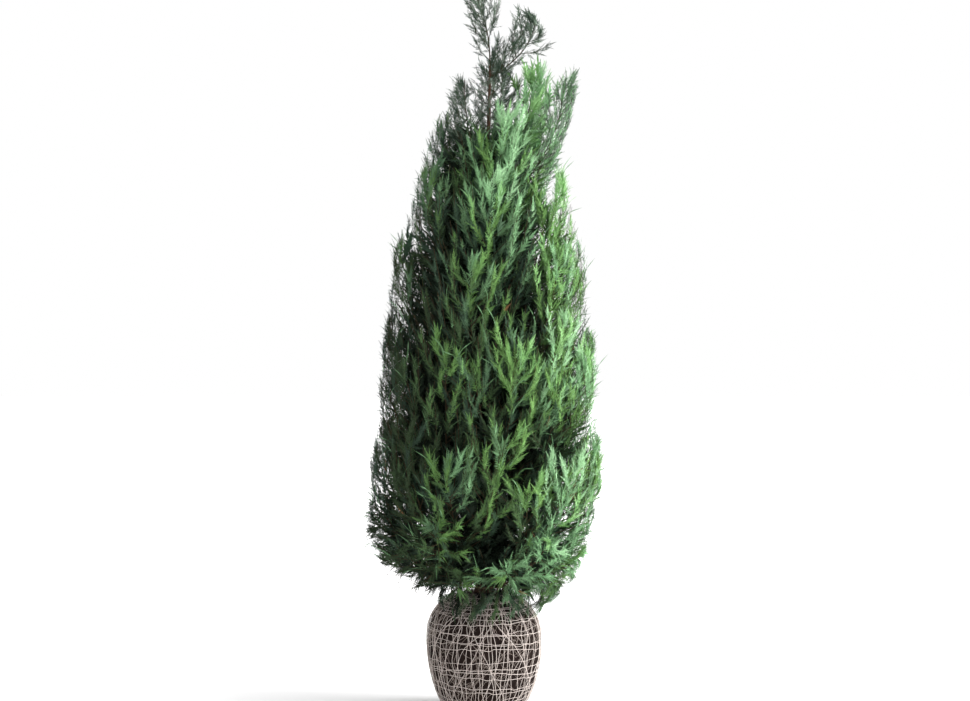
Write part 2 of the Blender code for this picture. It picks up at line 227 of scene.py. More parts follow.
# Shoots leave a limb or the trunk aslant, bend upwards and carry fronds. Their reach is out from
# the limb, and the other lengths are shares of it.
Habit = namedtuple(
    "Habit", "spacing bend_out bend_up out up fronds kind length lean droop fall fill greens"
)
HABITS = {
    "plume": Habit(0.0130, 0.75, 0.40, 1.00, 1.60, 18, "frond", 0.041, 0.62, 0.05, 0.10, 4, None),
    "side": Habit(0.0190, 0.75, 0.40, 1.00, 1.50, 17, "frond", 0.041, 0.62, 0.05, 0.10, 5, None),
    "skirt": Habit(0.0110, 0.70, 0.25, 1.00, 0.95, 17, "frond", 0.038, 0.65, 0.22, -0.12, 4, None),
    "top": Habit(0.0090, 0.70, 0.40, 0.90, 1.50, 15, "frond", 0.036, 0.65, 0.00, 0.10, 2, None),
    "veil": Habit(0.0090, 0.70, 0.40, 0.95, 1.45, 13, "lace", 0.036, 0.70, 0.00, 0.10, 0, PALES),
    "wisp": Habit(0.0095, 0.70, 0.40, 0.90, 1.40, 11, "lace", 0.037, 0.80, 0.00, 0.00, 0, BACKLIT_GREYS),
    "stem": Habit(0.0070, 0.70, 0.30, 1.00, 1.00, 6, "lace", 0.042, 0.70, 0.05, 0.00, 0, BACKLIT_GREYS),
    "inner": Habit(0.0034, 0.70, 0.10, 1.00, 0.75, 7, "frond", 0.070, 0.90, 0.10, 0.00, 7, None),
    "foot": Habit(0.0011, 0.70, 0.10, 1.00, 0.10, 14, "frond", 0.040, 0.65, 0.25, -0.40, 5, None),
}
SHOOT_RADIUS = 0.0013
SHOOT_TAPER = (1.0, 0.8, 0.4)
SHOOT_SIDES = 3
SHOOT_START = 0.01  # of the plume
SHOOT_RUN = 0.95
SHOOT_UNEVENNESS = 0.7
SHOOT_REACHES = (0.6, 1.1)
SHOOT_RISES = (0.8, 1.2)
SHOOT_OUTWARD = 0.35  # longer by this share where it faces away from the trunk
SHOOT_SPREAD = 0.40  # and where it faces round the crown
SHOOT_INSET = 0.02  # its end, in from where fronds may reach
TURNED_SHARE = 0.55  # of those that would face the trunk, grown to the other side
PLUME_RISE = 0.3
SKIRT_RISE = -0.2

# Shoots straight from the trunk: at its foot, inside the crown and near its top
FOOT_HEIGHTS = (0.37, 0.46)
FOOT_REACH = 0.17
# painted shade: the shoots at the trunk's foot are darker
FOOT_SHADE = -0.20
INNER_HEIGHTS = (0.42, 1.62)
INNER_REACH = 0.75  # of the crown's radius
# painted shade: the shoots inside the crown are darker
INNER_SHADE = -0.10
STEM_START = 1.45
STEM_REACH = ((1.75, 0.055), (1.90, 0.024))
TRUNK_REACHES = (0.6, 1.0)

# Fronds, by kind, of length 1. The spread is their branchlets' length, and the lean is in degrees.
Shape = namedtuple("Shape", "branchlets leaflets leaf_width spread lean")
SHAPES = {
    "frond": Shape(18, 0, 0.033, 0.26, 56),
    "lace": Shape(15, 1, 0.046, 0.34, 41),
    "ribbon": Shape(18, 0, 0.036, 0.11, 48),
    "inner": Shape(15, 0, 0.045, 0.34, 41),
    "fill": Shape(13, 0, 0.085, 0.34, 41),
}
FROND_VARIANTS = 8
FROND_BOW = 0.10
RACHIS_STEPS = 2
BRANCHLET_LENGTHS = (0.8, 1.15)
BRANCHLET_LEAN = 7  # more or less than the kind's
BRANCHLET_TURN = 16  # less lean at the frond's tip
BRANCHLET_TWIST = 0.35
LEAFLET_TURNS = (30, 44)
LEAFLET_LENGTHS = (0.35, 0.5)

# Fronds along a shoot, and those that end a plume
FROND_START = 0.12
FROND_RUN = 0.76
END_FROND = 0.8
END_LEAN = 0.1
LEAST_LEAN = 0.15
FROND_LENGTHS = (0.75, 1.15)
FROND_DROOP = 0.1  # more or less than the habit's
FROND_CURL = 0.3
FACE_TURN = 0.6  # most that a frond's face turns from the crown's outside, of a right angle
EDGE_ON_SHARE = 0.3  # fronds that face anywhere
LEAST_ACROSS = 0.2  # of fronds that have a face to turn, square to the crown's radius
HELD_SHARES = (1.0, 0.85, 0.7, 0.55)  # shorter and shorter, to stay in the outline
LEAST_HELD = 0.5
TIP_START = 0.72
TIP_RUN = 0.24
TIP_LEANS = (0.1, 0.45)
TIP_SPARE = (0.1, 0.3)  # past the limb's tip, of the plume's half width
TIP_LONGEST = 0.07
# painted light: the fronds that end a plume are lighter
TIP_LIGHT = 0.06
TIP_CURL = 0.15

# Coarser fronds deep in the crown, and ones close about the limbs that fill it, darker as painted
# shade
INNER_DEPTH = 0.7  # share of the crown's radius
FILL_LENGTH = 0.085
FILL_DEPTH = 0.95  # none of them reaches nearer to the outline
FILL_REACH = 0.75  # of the shoot's length
FILL_OUT = 0.5
FILL_ASIDE = 0.6
FILL_CURL = 0.2
FILL_DROOP = 0.1
FILL_SHADE = 0.18

# Ribbons: long, pale and curved fronds near the outline
RIBBON_SHARE = 0.022
RIBBON_DEPTH = 0.80
RIBBON_LENGTH = 1.5  # of the habit's
RIBBON_BEND = 0.55
RIBBON_RISE = 0.5
RIBBON_GREEN = "sage"

# Greens by how lit a spray is, each level but the darkest in a warm and a cool kind
GREENS = {
    "night": (0.011, 0.019, 0.011),
    "moss": (0.026, 0.045, 0.020),
    "pine": (0.023, 0.043, 0.027),
    "fern": (0.042, 0.077, 0.032),
    "spruce": (0.038, 0.071, 0.042),
    "leaf": (0.064, 0.123, 0.044),
    "sea": (0.059, 0.112, 0.060),
    "grass": (0.090, 0.185, 0.052),
    "jade": (0.086, 0.165, 0.076),
    "meadow": (0.135, 0.270, 0.078),
    "sage": (0.126, 0.245, 0.118),
    "lime": (0.180, 0.365, 0.125),
    "mint": (0.190, 0.365, 0.178),
    "bud": (0.250, 0.460, 0.185),
    "frost": (0.280, 0.480, 0.258),
    "straw": (0.160, 0.085, 0.035),
    "slate": (0.050, 0.075, 0.052),
    "ash": (0.120, 0.160, 0.120),
}
LEVELS = (
    (0.30, "night", "night"),
    (0.46, "moss", "pine"),
    (0.58, "fern", "spruce"),
    (0.70, "leaf", "sea"),
    (0.82, "grass", "jade"),
    (0.94, "meadow", "sage"),
    (1.06, "lime", "mint"),
    (9.99, "bud", "frost"),
)

# A spray's painted light and shade: at the outline, on the sunny side, and in the top of the crown,
# where it comes from all round. A tone makes a whole limb or shoot lighter, and a cast makes it
# cooler.
DEPTH_LIGHT = 0.42
SUN_LIGHT = 0.74
SUNNY_SIDE = Vector((0.90, -0.43, 0.0))
TOP_START = 1.15
TOP_RISE = 0.4
TOP_DEPTH = 0.9  # the depth that it counts as
TOP_SUN = 0.06  # less from the sunny side
TOP_LIGHT = 0.25
LEAST_LIGHT = 0.44  # of sprays at the outline
# painted shade: the sprays low down are darker
LOW_START = 0.52  # sprays under this height are darker
LOW_FALL = 0.25
LOW_SHADE = 0.22
# painted light and shade: a plume is lighter from its shaded start to its lit tip
LIMB_RISE_LIGHT = 0.34  # from the start of a plume to its tip
RISE_MIDDLE = 0.48
# painted light: fronds are lighter from a shoot's start to its end
SHOOT_RISE_LIGHT = 0.10  # from a shoot's start to its end
LIMB_TONE = 0.11
SHOOT_TONE = 0.05
SPRAY_TONE = 0.05
LIMB_CAST = 0.5
SHOOT_CAST = 0.7
# painted highlights: greyer, bluer greens at the top of the crown and on the sunny side
TOP_CAST = 0.5
SUN_CAST = 0.15
COOL_START = 0.2
STRAW_SHARE = 0.0015
STRAW_DEPTH = 0.85


def between(table, where):
    """The value at a place in a table of (place, value), eased between its rows."""
    if where <= table[0][0]:
        return table[0][1]
    for (low, first), (high, last) in zip(table, table[1:]):
        if where <= high:
            share = (where - low) / (high - low)
            return first + (last - first) * share * share * (3 - 2 * share)
    return table[-1][1]


def clamp(value, low=0.0, high=1.0):
    return max(low, min(high, value))


def unit(vectors):
    return vectors / (np.linalg.norm(vectors, axis=-1, keepdims=True) + TINY)


def outward(turn):
    return Vector((math.cos(turn), math.sin(turn), 0.0))


def on_curve(start, bend, end, share):
    left = 1 - share
    return left * left * start + 2 * left * share * bend + share * share * end


def along_curve(start, bend, end, share):
    return ((1 - share) * (bend - start) + share * (end - bend)).normalized()


def nodes_named(start):
    return [node for node in sorted(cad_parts) if node.startswith(start)]


def crown_radius(height):
    return between(CROWN_OUTLINE, height)


def crown_centre(height):
    return Vector((between(CROWN_SHIFT, height), 0, height))


# Trunk and limbs, by the solids' rule


class Trunk:
    def __init__(self):
        low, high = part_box("trunk")
        self.foot, self.top = low[2], high[2]

    def share(self, height):
        return (height - self.foot) / (self.top - self.foot)

    def centre(self, height):
        share = self.share(height)
        swing_x, swing_y = (TRUNK_WOBBLE * math.sin(swing * share) for swing in TRUNK_SWINGS)
        return Vector((TRUNK_LEAN * share * share * (3 - 2 * share) + swing_x, swing_y, height))

    def radius(self, height):
        left = max(1 - self.share(height), 0.0)
        taper = TRUNK_TIP_RADIUS + (TRUNK_FOOT_RADIUS - TRUNK_TIP_RADIUS) * left ** TRUNK_TAPER
        return taper + FLARE_RADIUS * math.exp(-(height - self.foot) / FLARE_HEIGHT)


class Limb:
    """One limb: a curve from the trunk to its plume's tip, bare up to where the plume begins."""

    def __init__(self, name, start, bend, tip, width, bare=0.0, tone=0.0, habit="plume"):
        self.name, self.start, self.bend, self.tip = name, start, bend, tip
        self.width, self.bare, self.tone, self.habit = width, bare, tone, habit
        run = [self.at(k / LIMB_STEPS) for k in range(LIMB_STEPS + 1)]
        self.length = sum((b - a).length for a, b in zip(run, run[1:]))

    def at(self, share):
        return on_curve(self.start, self.bend, self.tip, share)

    def along(self, share):
        return along_curve(self.start, self.bend, self.tip, share)

    def in_plume(self, share):
        return self.bare + (1 - self.bare) * share

    def half_width(self, share):
        """The plume's half width, which is greatest about a third of the way along it."""
        return self.width * math.sin(math.pi * (0.15 + 0.83 * share) ** 0.8) ** 0.8

    def radius(self, share):
        root = STEM_RADIUS + LIMB_RADIUS_PER_METRE * self.length
        if share < self.bare:
            return root + (STEM_RADIUS - root) * share / self.bare
        return STEM_RADIUS + (STEM_TIP_RADIUS - STEM_RADIUS) * share


def lay_out_limbs(trunk):
    rng = random.Random(SEED)
    limbs = []
    for tier in TIERS:
        for k in range(tier.count):
            step = k + rng.uniform(-TURN_RAGGED, TURN_RAGGED)
            turn = math.radians(tier.first) + 2 * math.pi * step / tier.count
            ragged = rng.uniform(-TIP_RAGGED, TIP_RAGGED)
            start = trunk.centre(tier.leave + LEAVE_RAGGED * ragged)
            bend = start + outward(turn) * tier.bend_radius
            sag = tier.sag * math.cos(turn)
            bend.z = tier.bend_height + ragged - 0.5 * sag
            tip_height = tier.tip + ragged - sag
            tip = crown_centre(tip_height) + outward(turn) * crown_radius(tip_height)
            habit = "skirt" if tier.name == "skirt" else "plume"
            name = f"{tier.name}_{k + 1}"
            limbs.append(Limb(name, start, bend, tip, tier.width, tier.bare, 0.0, habit))
    for plume in PLUMES:
        turn = math.radians(plume.turn)
        start = trunk.centre(plume.leave)
        tip = start + outward(turn) * plume.tip_radius
        tip.z = plume.tip
        bend = start + outward(turn) * plume.tip_radius * PLUME_BEND_OUT
        bend.z = plume.leave + PLUME_BEND_UP * (plume.tip - plume.leave)
        limbs.append(
            Limb(plume.name, start, bend, tip, plume.width, 0.0, plume.tone, plume.habit)
        )
    start = trunk.centre(trunk.top)
    bend = start + Vector((0, 0, LEADER_BEND))
    limbs.append(Limb("leader", start, bend, LEADER_TIP, LEADER_WIDTH, 0.0, LEADER_TONE, "wisp"))
    return limbs


def side_boughs(limbs):
    """The forks of the lower limbs, which fill the room between them."""
    forks = []
    for limb in limbs:
        if limb.name.split("_")[0] not in FORKED_TIERS:
            continue
        turn = math.atan2(limb.tip.y, limb.tip.x)
        for side in (-1, 1):
            start = limb.at(FORK_AT)
            height = limb.tip.z + FORK_LIFT * side
            tip = crown_centre(height) + outward(turn + side * FORK_TURN) * crown_radius(height)
            bend = start.lerp(tip, FORK_BEND_OUT)
            bend.z = start.z + FORK_BEND_UP * (tip.z - start.z)
            habit = "skirt" if limb.habit == "skirt" else "side"
            name = f"{limb.name}_side"
            width = limb.width * FORK_WIDTH
            forks.append(Limb(name, start, bend, tip, width, FORK_BARE, limb.tone, habit))
    return forks


# Meshes


def object_from_arrays(name, points, triangles, finish, smooth=False):
    data = bpy.data.meshes.new(name)
    data.vertices.add(len(points))
    data.vertices.foreach_set("co", np.asarray(points, dtype=np.float32).ravel())
    data.loops.add(len(triangles) * 3)
    data.loops.foreach_set("vertex_index", np.asarray(triangles, dtype=np.int32).ravel())
    data.polygons.add(len(triangles))
    data.polygons.foreach_set("loop_start", np.arange(0, len(triangles) * 3, 3, dtype=np.int32))
    data.polygons.foreach_set("use_smooth", np.full(len(triangles), smooth))
    data.update(calc_edges=True)
    data.validate()
    data.materials.append(finish)
    made = bpy.data.objects.new(name, data)
    bpy.context.scene.collection.objects.link(made)
    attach(made, "root")
    return made


def tubes_along(paths, radii, sides):
    """Points and triangles of closed tubes, one along each path. radii has a list for each path."""
    all_points, all_triangles, used = [], [], 0
    angles = np.arange(sides) * 2 * math.pi / sides
    for path, radius in zip(paths, radii):
        path = np.asarray(path, dtype=float)
        run = unit(np.gradient(path, axis=0))
        side = np.cross(run[0], (0.0, 0.0, 1.0))
        if np.linalg.norm(side) < 0.1:
            side = np.array((1.0, 0.0, 0.0))
        sides_at = np.empty_like(path)
        for k, along in enumerate(run):
            side = side - along * side.dot(along)
            side /= np.linalg.norm(side)
            sides_at[k] = side
        others = np.cross(run, sides_at)
        arms = np.cos(angles)[None, :, None] * sides_at[:, None]
        arms += np.sin(angles)[None, :, None] * others[:, None]
        rings = path[:, None] + arms * np.asarray(radius, dtype=float)[:, None, None]
        count = len(path)
        ring = np.arange(sides)
        after = (ring + 1) % sides
        rows = np.arange(count - 1)[:, None] * sides
        lower = np.stack([rows + ring, rows + after, rows + sides + after], axis=-1)
        upper = np.stack([rows + ring, rows + sides + after, rows + sides + ring], axis=-1)
        caps = [(0, k + 1, k) for k in range(1, sides - 1)]
        top = (count - 1) * sides
        caps += [(top, top + k, top + k + 1) for k in range(1, sides - 1)]
        triangles = np.concatenate([lower.reshape(-1, 3), upper.reshape(-1, 3), np.array(caps)])
        all_points.append(rings.reshape(-1, 3))
        all_triangles.append(triangles + used)
        used += count * sides
    return np.concatenate(all_points), np.concatenate(all_triangles)


# Sprays


def kite(base, tip, half_width, tilt):
    """Four points of a narrow scale-leaved branchlet: base, right, tip, left."""
    along = tip - base
    across = unit(np.array((along[1], -along[0], 0.0)))
    across[2] = tilt
    middle = base + along * 0.4
    return [base, middle + across * half_width, tip, middle - across * half_width]


def frond_template(rng, shape):
    """Points and triangles of a feathery frond, of length 1 along Y, with X across it.

    With leaflets its branchlets are narrow kites, and without them they are plain teeth.
    """
    points, triangles = [], []
    width = shape.leaf_width
    bow = rng.uniform(-FROND_BOW, FROND_BOW)

    def on_rachis(y):
        return np.array((bow * y * y, y, 0.0))

    def add(outline):
        first = len(points)
        points.extend(outline)
        triangles.extend((first, first + k, first + k + 1) for k in range(1, len(outline) - 1))

    for k in range(RACHIS_STEPS):
        add(kite(on_rachis(k / RACHIS_STEPS), on_rachis((k + 1.1) / RACHIS_STEPS), width / 2, 0))
    for k in range(shape.branchlets):
        y = 0.04 + 0.93 * (k / shape.branchlets) ** 0.95
        side = 1 if k % 2 else -1
        envelope = (0.35 + 0.65 * math.sin(math.pi * min(1.0, y + 0.2) ** 0.8)) * (1.02 - 0.62 * y)
        length = shape.spread * envelope * rng.uniform(*BRANCHLET_LENGTHS)
        lean = rng.uniform(shape.lean - BRANCHLET_LEAN, shape.lean + BRANCHLET_LEAN)
        angle = math.radians(lean - BRANCHLET_TURN * y)
        twist = rng.uniform(-BRANCHLET_TWIST, BRANCHLET_TWIST)
        base = on_rachis(y)
        tip = base + np.array((side * math.sin(angle), math.cos(angle), twist)) * length
        if shape.leaflets:
            add(kite(base, tip, width / 2, rng.uniform(-1.0, 1.0)))
        else:
            root = np.array((0.0, width, rng.uniform(-0.5, 0.5) * width))
            add([base - root, tip, base + root])
        for n in range(shape.leaflets):
            root = base + (tip - base) * (0.25 + 0.4 * n)
            turned = side if n % 2 else -side
            turn = angle * side + turned * math.radians(rng.uniform(*LEAFLET_TURNS))
            reach = length * rng.uniform(*LEAFLET_LENGTHS)
            twist = rng.uniform(-0.3, 0.3)
            leaf_tip = root + np.array((math.sin(turn), math.cos(turn), twist)) * reach
            right, left = kite(root, leaf_tip, width * 0.45, rng.uniform(-0.6, 0.6))[1::2]
            middle = root + (leaf_tip - root) * 0.4
            add([root + right - middle, leaf_tip, root + left - middle])
    return np.array(points), np.array(triangles)


Spray = namedtuple("Spray", "root aim flat length bend droop green kind")


def sprays_mesh(sprays, template):
    """Points and triangles of many sprays of one template."""
    points, triangles = template
    root = np.array([spray.root for spray in sprays])
    aim = np.array([spray.aim for spray in sprays])
    flat = np.array([spray.flat for spray in sprays])
    flat = unit(flat - aim * np.sum(flat * aim, axis=1, keepdims=True))
    normal = np.cross(aim, flat)
    length = np.array([spray.length for spray in sprays])[:, None, None]
    bend = np.array([spray.bend for spray in sprays])[:, None]
    droop = np.array([spray.droop for spray in sprays])[:, None]
    x, y, z = points[:, 0], points[:, 1], points[:, 2]
    lift = z[None] + bend * y[None] ** 2
    local = x[None, :, None] * flat[:, None] + y[None, :, None] * aim[:, None]
    local += lift[:, :, None] * normal[:, None]
    placed = root[:, None] + local * length
    placed[:, :, 2] -= droop * length[:, :, 0] * y[None] ** 2
    firsts = np.arange(len(sprays))[:, None, None] * len(points)
    return placed.reshape(-1, 3), (triangles[None] + firsts).reshape(-1, 3)


def clear_of_ball(tip):
    """True if a spray's tip hangs no lower than the skirt does, and outside the root ball."""
    spread = math.hypot(tip.x - HEM_SHIFT, tip.y * HEM_FLATNESS)
    if tip.z < SKIRT_HEM + HEM_RISE * max(0.0, spread - HEM_START):
        return False
    outside = math.hypot(tip.x, tip.y) > ball_radius_at(tip.z) + BALL_CLEARANCE
    return tip.z > CLEAR_HEIGHT or outside


def pulled_in(point, margin):
    """A point, moved in to the crown's outline and a margin where it lies outside it."""
    centre = crown_centre(point.z)
    out = point - centre
    limit = crown_radius(point.z) + margin
    return centre + out * (limit / out.length) if out.length > limit else point


def held(root, aim, length, droop):
    """A frond's aim and length, turned in along the crown's outline where it would leave it."""
    for share in HELD_SHARES:
        sag = Vector((0, 0, droop * length * share))
        tip = pulled_in(root + aim * length * share - sag, between(CROWN_FRINGE, root.z))
        run = tip + sag - root
        if clear_of_ball(tip) and run.length > LEAST_HELD * length * share:
            return run.normalized(), min(run.length, length * share)
    return None


def crosswise(along, roll):
    """A direction square to another, turned about it."""
    side = along.orthogonal().normalized()
    return math.cos(roll) * side + math.sin(roll) * along.cross(side)


def turned_out(aim, point, rng):
    """A direction across a frond, so that its face looks more or less out of the crown."""
    radial = (point - crown_centre(point.z)).normalized()
    across = aim.cross(radial)
    if across.length < LEAST_ACROSS or rng.random() < EDGE_ON_SHARE:
        return crosswise(aim, rng.uniform(0, 2 * math.pi))
    across.normalize()
    turn = rng.uniform(-FACE_TURN, FACE_TURN) * math.pi / 2
    return math.cos(turn) * across + math.sin(turn) * aim.cross(across)


def grow_shoot(here, along, out, reach, habit, tone, cast, rng):
    """A side shoot: its path and its fronds."""
    end = here + (out * habit.out + along * habit.up * rng.uniform(*SHOOT_RISES)) * reach
    end = pulled_in(end, between(CROWN_FRINGE, end.z) - SHOOT_INSET)
    bend = here + (out * habit.bend_out + along * habit.bend_up) * reach
    path = [here, (here + 2 * bend + end) / 4, end]
    fronds = []
    turn = rng.uniform(0, 2 * math.pi)
    for n in range(habit.fronds):
        last = n == habit.fronds - 1
        spot = END_FROND if last else FROND_START + FROND_RUN * n / (habit.fronds - 1)
        root = on_curve(here, bend, end, spot)
        run = along_curve(here, bend, end, spot)
        turn += GOLDEN_TURN
        leans = (-END_LEAN, END_LEAN) if last else (LEAST_LEAN, habit.lean)
        lean = rng.uniform(*leans)
        aim = (run + crosswise(run, turn) * lean + Vector((0, 0, habit.fall))).normalized()
        length = habit.length * rng.uniform(*FROND_LENGTHS)
        droop = habit.droop + rng.uniform(-FROND_DROOP, FROND_DROOP)
        kept = held(root, aim, length, droop)
        if kept is None:
            continue
        aim, length = kept
        tip = root + aim * length
        # painted light: fronds are lighter towards the shoot's end
        lit = tone + SHOOT_RISE_LIGHT * (spot - 0.5)
        kind, green = habit.kind, choose_green(tip, lit, cast, rng)
        flat, curl = turned_out(aim, tip, rng), rng.uniform(-FROND_CURL, FROND_CURL)
        if habit.greens:
            green = rng.choice(habit.greens)
        elif depth_in(tip) < INNER_DEPTH:
            kind = "inner"
        elif depth_in(tip) > RIBBON_DEPTH and rng.random() < RIBBON_SHARE:
            rising = (run + Vector((0, 0, RIBBON_RISE))).normalized()
            longer = held(root, rising, habit.length * RIBBON_LENGTH, 0.0)
            if longer is not None:
                aim, length = longer
                kind, green, curl = "ribbon", RIBBON_GREEN, rng.choice((-1, 1)) * RIBBON_BEND
        fronds.append(Spray(root, aim, flat, length, curl, droop, green, kind))
    for n in range(habit.fill):
        spot = FILL_REACH * (n + rng.uniform(0, 1)) / habit.fill
        root = on_curve(here, bend, end, spot)
        aside = crosswise(along, rng.uniform(0, 2 * math.pi))
        aim = (along * habit.up + out * FILL_OUT + aside * FILL_ASIDE).normalized()
        tip = root + aim * FILL_LENGTH
        if not clear_of_ball(tip) or depth_in(tip) > FILL_DEPTH:
            continue
        flat = crosswise(aim, rng.uniform(0, 2 * math.pi))
        # painted shade: the filling fronds are darker
        green = choose_green(tip, tone - FILL_SHADE, cast, rng)
        curl = rng.uniform(-FILL_CURL, FILL_CURL)
        fronds.append(Spray(root, aim, flat, FILL_LENGTH, curl, FILL_DROOP, green, "fill"))
    return path, fronds


def plume_shoots(limb, rng):
    """The shoots of a limb, all along its plume, and their fronds."""
    paths, sprays = [], []
    habit = HABITS[limb.habit]
    limb_tone_and_light, limb_cast = limb.tone + rng.gauss(0, LIMB_TONE), rng.gauss(0, LIMB_CAST)
    upward = Vector((0, 0, SKIRT_RISE if limb.habit == "skirt" else PLUME_RISE))
    roll = rng.uniform(0, 2 * math.pi)
    count = round((1 - limb.bare) * limb.length / habit.spacing)
    for k in range(count):
        share = SHOOT_START + SHOOT_RUN * (k + rng.uniform(0, SHOOT_UNEVENNESS)) / count
        roll += GOLDEN_TURN
        place = limb.in_plume(share)
        here, along = limb.at(place), limb.along(place)
        out = crosswise(along, roll)
        radial = (here - crown_centre(here.z)).normalized()
        if out.dot(radial) < 0 and rng.random() < TURNED_SHARE:
            out = -out
        facing = max(0.0, out.dot(radial))
        sideways = abs(out.dot(radial.cross(Vector((0, 0, 1)))))
        longer = 1 + SHOOT_OUTWARD * facing + SHOOT_SPREAD * sideways
        stretch = rng.uniform(*SHOOT_REACHES) * longer
        rise = (along + upward).normalized()
        # painted light and shade: lighter towards the plume's lit tip, darker at its shaded start
        tone = limb_tone_and_light + LIMB_RISE_LIGHT * (share - RISE_MIDDLE) + rng.gauss(0, SHOOT_TONE)
        reach = limb.half_width(share) * stretch
        cast = limb_cast + rng.gauss(0, SHOOT_CAST)
        path, fronds = grow_shoot(here, rise, out, reach, habit, tone, cast, rng)
        paths.append(path)
        sprays += fronds
    return paths, sprays


def tip_fronds(limb, rng):
    """The fronds that end a plume, close about its limb's tip."""
    fronds = []
    # painted light: the fronds at a plume's tip are lighter
    tone, cast = limb.tone + rng.gauss(TIP_LIGHT, SHOOT_TONE), rng.gauss(0, 1)
    habit = HABITS[limb.habit]
    count = habit.fronds // 2
    for k in range(count):
        share = limb.in_plume(TIP_START + TIP_RUN * k / (count - 1))
        root, along = limb.at(share), limb.along(share)
        aside = crosswise(along, k * GOLDEN_TURN + rng.uniform(-0.3, 0.3))
        aim = (along + aside * rng.uniform(*TIP_LEANS)).normalized()
        length = (limb.tip - root).length + limb.width * rng.uniform(*TIP_SPARE)
        kept = held(root, aim, min(length, TIP_LONGEST), 0.0)
        if kept is None:
            continue
        aim, length = kept
        tip = root + aim * length
        flat = turned_out(aim, tip, rng)
        green = choose_green(tip, tone, cast, rng)
        if habit.greens:
            green = rng.choice(habit.greens)
        curl = rng.uniform(-TIP_CURL, TIP_CURL)
        fronds.append(Spray(root, aim, flat, length, curl, 0.0, green, habit.kind))
    return fronds


def trunk_shoots(trunk, low, high, habit, reach_at, tone, rng):
    """Shoots straight from the trunk, between two heights."""
    paths, sprays = [], []
    upward = Vector((0, 0, 1))
    for k in range(round((high - low) / habit.spacing)):
        height = low + k * habit.spacing
        here, out = trunk.centre(height), outward(k * GOLDEN_TURN)
        reach = reach_at(height) * rng.uniform(*TRUNK_REACHES)
        shoot_tone_and_light, cast = tone + rng.gauss(0, SHOOT_TONE), rng.gauss(0, 1)
        path, fronds = grow_shoot(here, upward, out, reach, habit, shoot_tone_and_light, cast, rng)
        paths.append(path)
        sprays += fronds
    return paths, sprays


def grow(trunk, limbs, rng):
    """The shoots' paths and the sprays of all the plumes."""
    paths, sprays = [], []
    for limb in limbs:
        more_paths, more_sprays = plume_shoots(limb, rng)
        paths += more_paths
        sprays += more_sprays + tip_fronds(limb, rng)
    # painted shade: darker shoots at the trunk's foot and inside the crown
    for name, heights, reach_at, tone in (
        ("foot", FOOT_HEIGHTS, lambda height: FOOT_REACH, FOOT_SHADE),
        ("inner", INNER_HEIGHTS, lambda height: INNER_REACH * crown_radius(height), INNER_SHADE),
        ("stem", (STEM_START, trunk.top), lambda height: between(STEM_REACH, height), LEADER_TONE),
    ):
        more_paths, more_sprays = trunk_shoots(trunk, *heights, HABITS[name], reach_at, tone, rng)
        paths += more_paths
        sprays += more_sprays
    return paths, sprays


def depth_in(point):
    """0 at the crown's middle, 1 at its outline."""
    return min(1.0, (point - crown_centre(point.z)).length / crown_radius(point.z))


def choose_green(tip, tone, cast, rng):
    """A spray's green: dark inside, lit at the outline and most of all on the sunny side."""
    depth = depth_in(tip)
    side = clamp((tip - crown_centre(tip.z)).dot(SUNNY_SIDE) / crown_radius(tip.z), -1.0)
    high = clamp((tip.z - TOP_START) / TOP_RISE)
    light = DEPTH_LIGHT * max(depth ** 2, TOP_DEPTH * high)
    light += (SUN_LIGHT - TOP_SUN * high) * (1 + side) / 2 - TOP_LIGHT * (1 - high)
    light = max(light + tone + rng.gauss(0, SPRAY_TONE), LEAST_LIGHT * depth ** 4)
    if depth > STRAW_DEPTH and rng.random() < STRAW_SHARE:
        return "straw"
    # painted shade: darker low down
    light -= LOW_SHADE * clamp((LOW_START - tip.z) / LOW_FALL)
    # painted highlights: cooler greens at the top and on the sunny side
    coolness = cast + TOP_CAST * high + SUN_CAST * side
    for limit, warm, cool in LEVELS:
        if light < limit:
            return cool if coolness > COOL_START else warm
    return "frost"


# Root ball


def ball_profile(share):
    """The ball's (radius, height) at a share of the way from its foot over its side to the top."""
    foot_angle = math.asin(BALL_WAIST / BALL_BELOW)
    power = 2 / BALL_FULLNESS
    top_angle = math.acos((BALL_TOP_RADIUS / BALL_RADIUS) ** (1 / power))
    if share < WAIST_SHARE:
        angle = foot_angle * (1 - share / WAIST_SHARE)
        return BALL_RADIUS * math.cos(angle), BALL_WAIST - BALL_BELOW * math.sin(angle)
    angle = top_angle * (share - WAIST_SHARE) / (1 - WAIST_SHARE)
    radius = BALL_RADIUS * math.cos(angle) ** power
    return radius, BALL_WAIST + BALL_ABOVE * math.sin(angle) ** power


def ball_radius_at(height):
    """The ball's radius at a height, without its lumps."""
    if height < BALL_WAIST:
        drop = min((BALL_WAIST - height) / BALL_BELOW, 1)
        return BALL_RADIUS * math.sqrt(1 - drop * drop)
    rise = min((height - BALL_WAIST) / BALL_ABOVE, 1)
    return BALL_RADIUS * (1 - rise ** BALL_FULLNESS) ** (1 / BALL_FULLNESS)


def ball_point(turn, share, lift=0.0):
    """A point on the ball's lumpy skin, or lifted off it."""
    radius, height = ball_profile(share)
    after_radius, after_height = ball_profile(min(share + PROFILE_STEP, 1.0))
    before_radius, before_height = ball_profile(max(share - PROFILE_STEP, 0.0))
    slope = Vector((after_height - before_height, before_radius - after_radius)).normalized()
    lump = math.sin(3 * turn + 0.8 + 9 * height) + 0.7 * math.sin(2 * turn - 14 * height)
    across = radius * (1 + BALL_LUMP * lump) + lift * slope.x
    return outward(turn) * across + Vector((0, 0, max(height + lift * slope.y, LEAST_HEIGHT)))


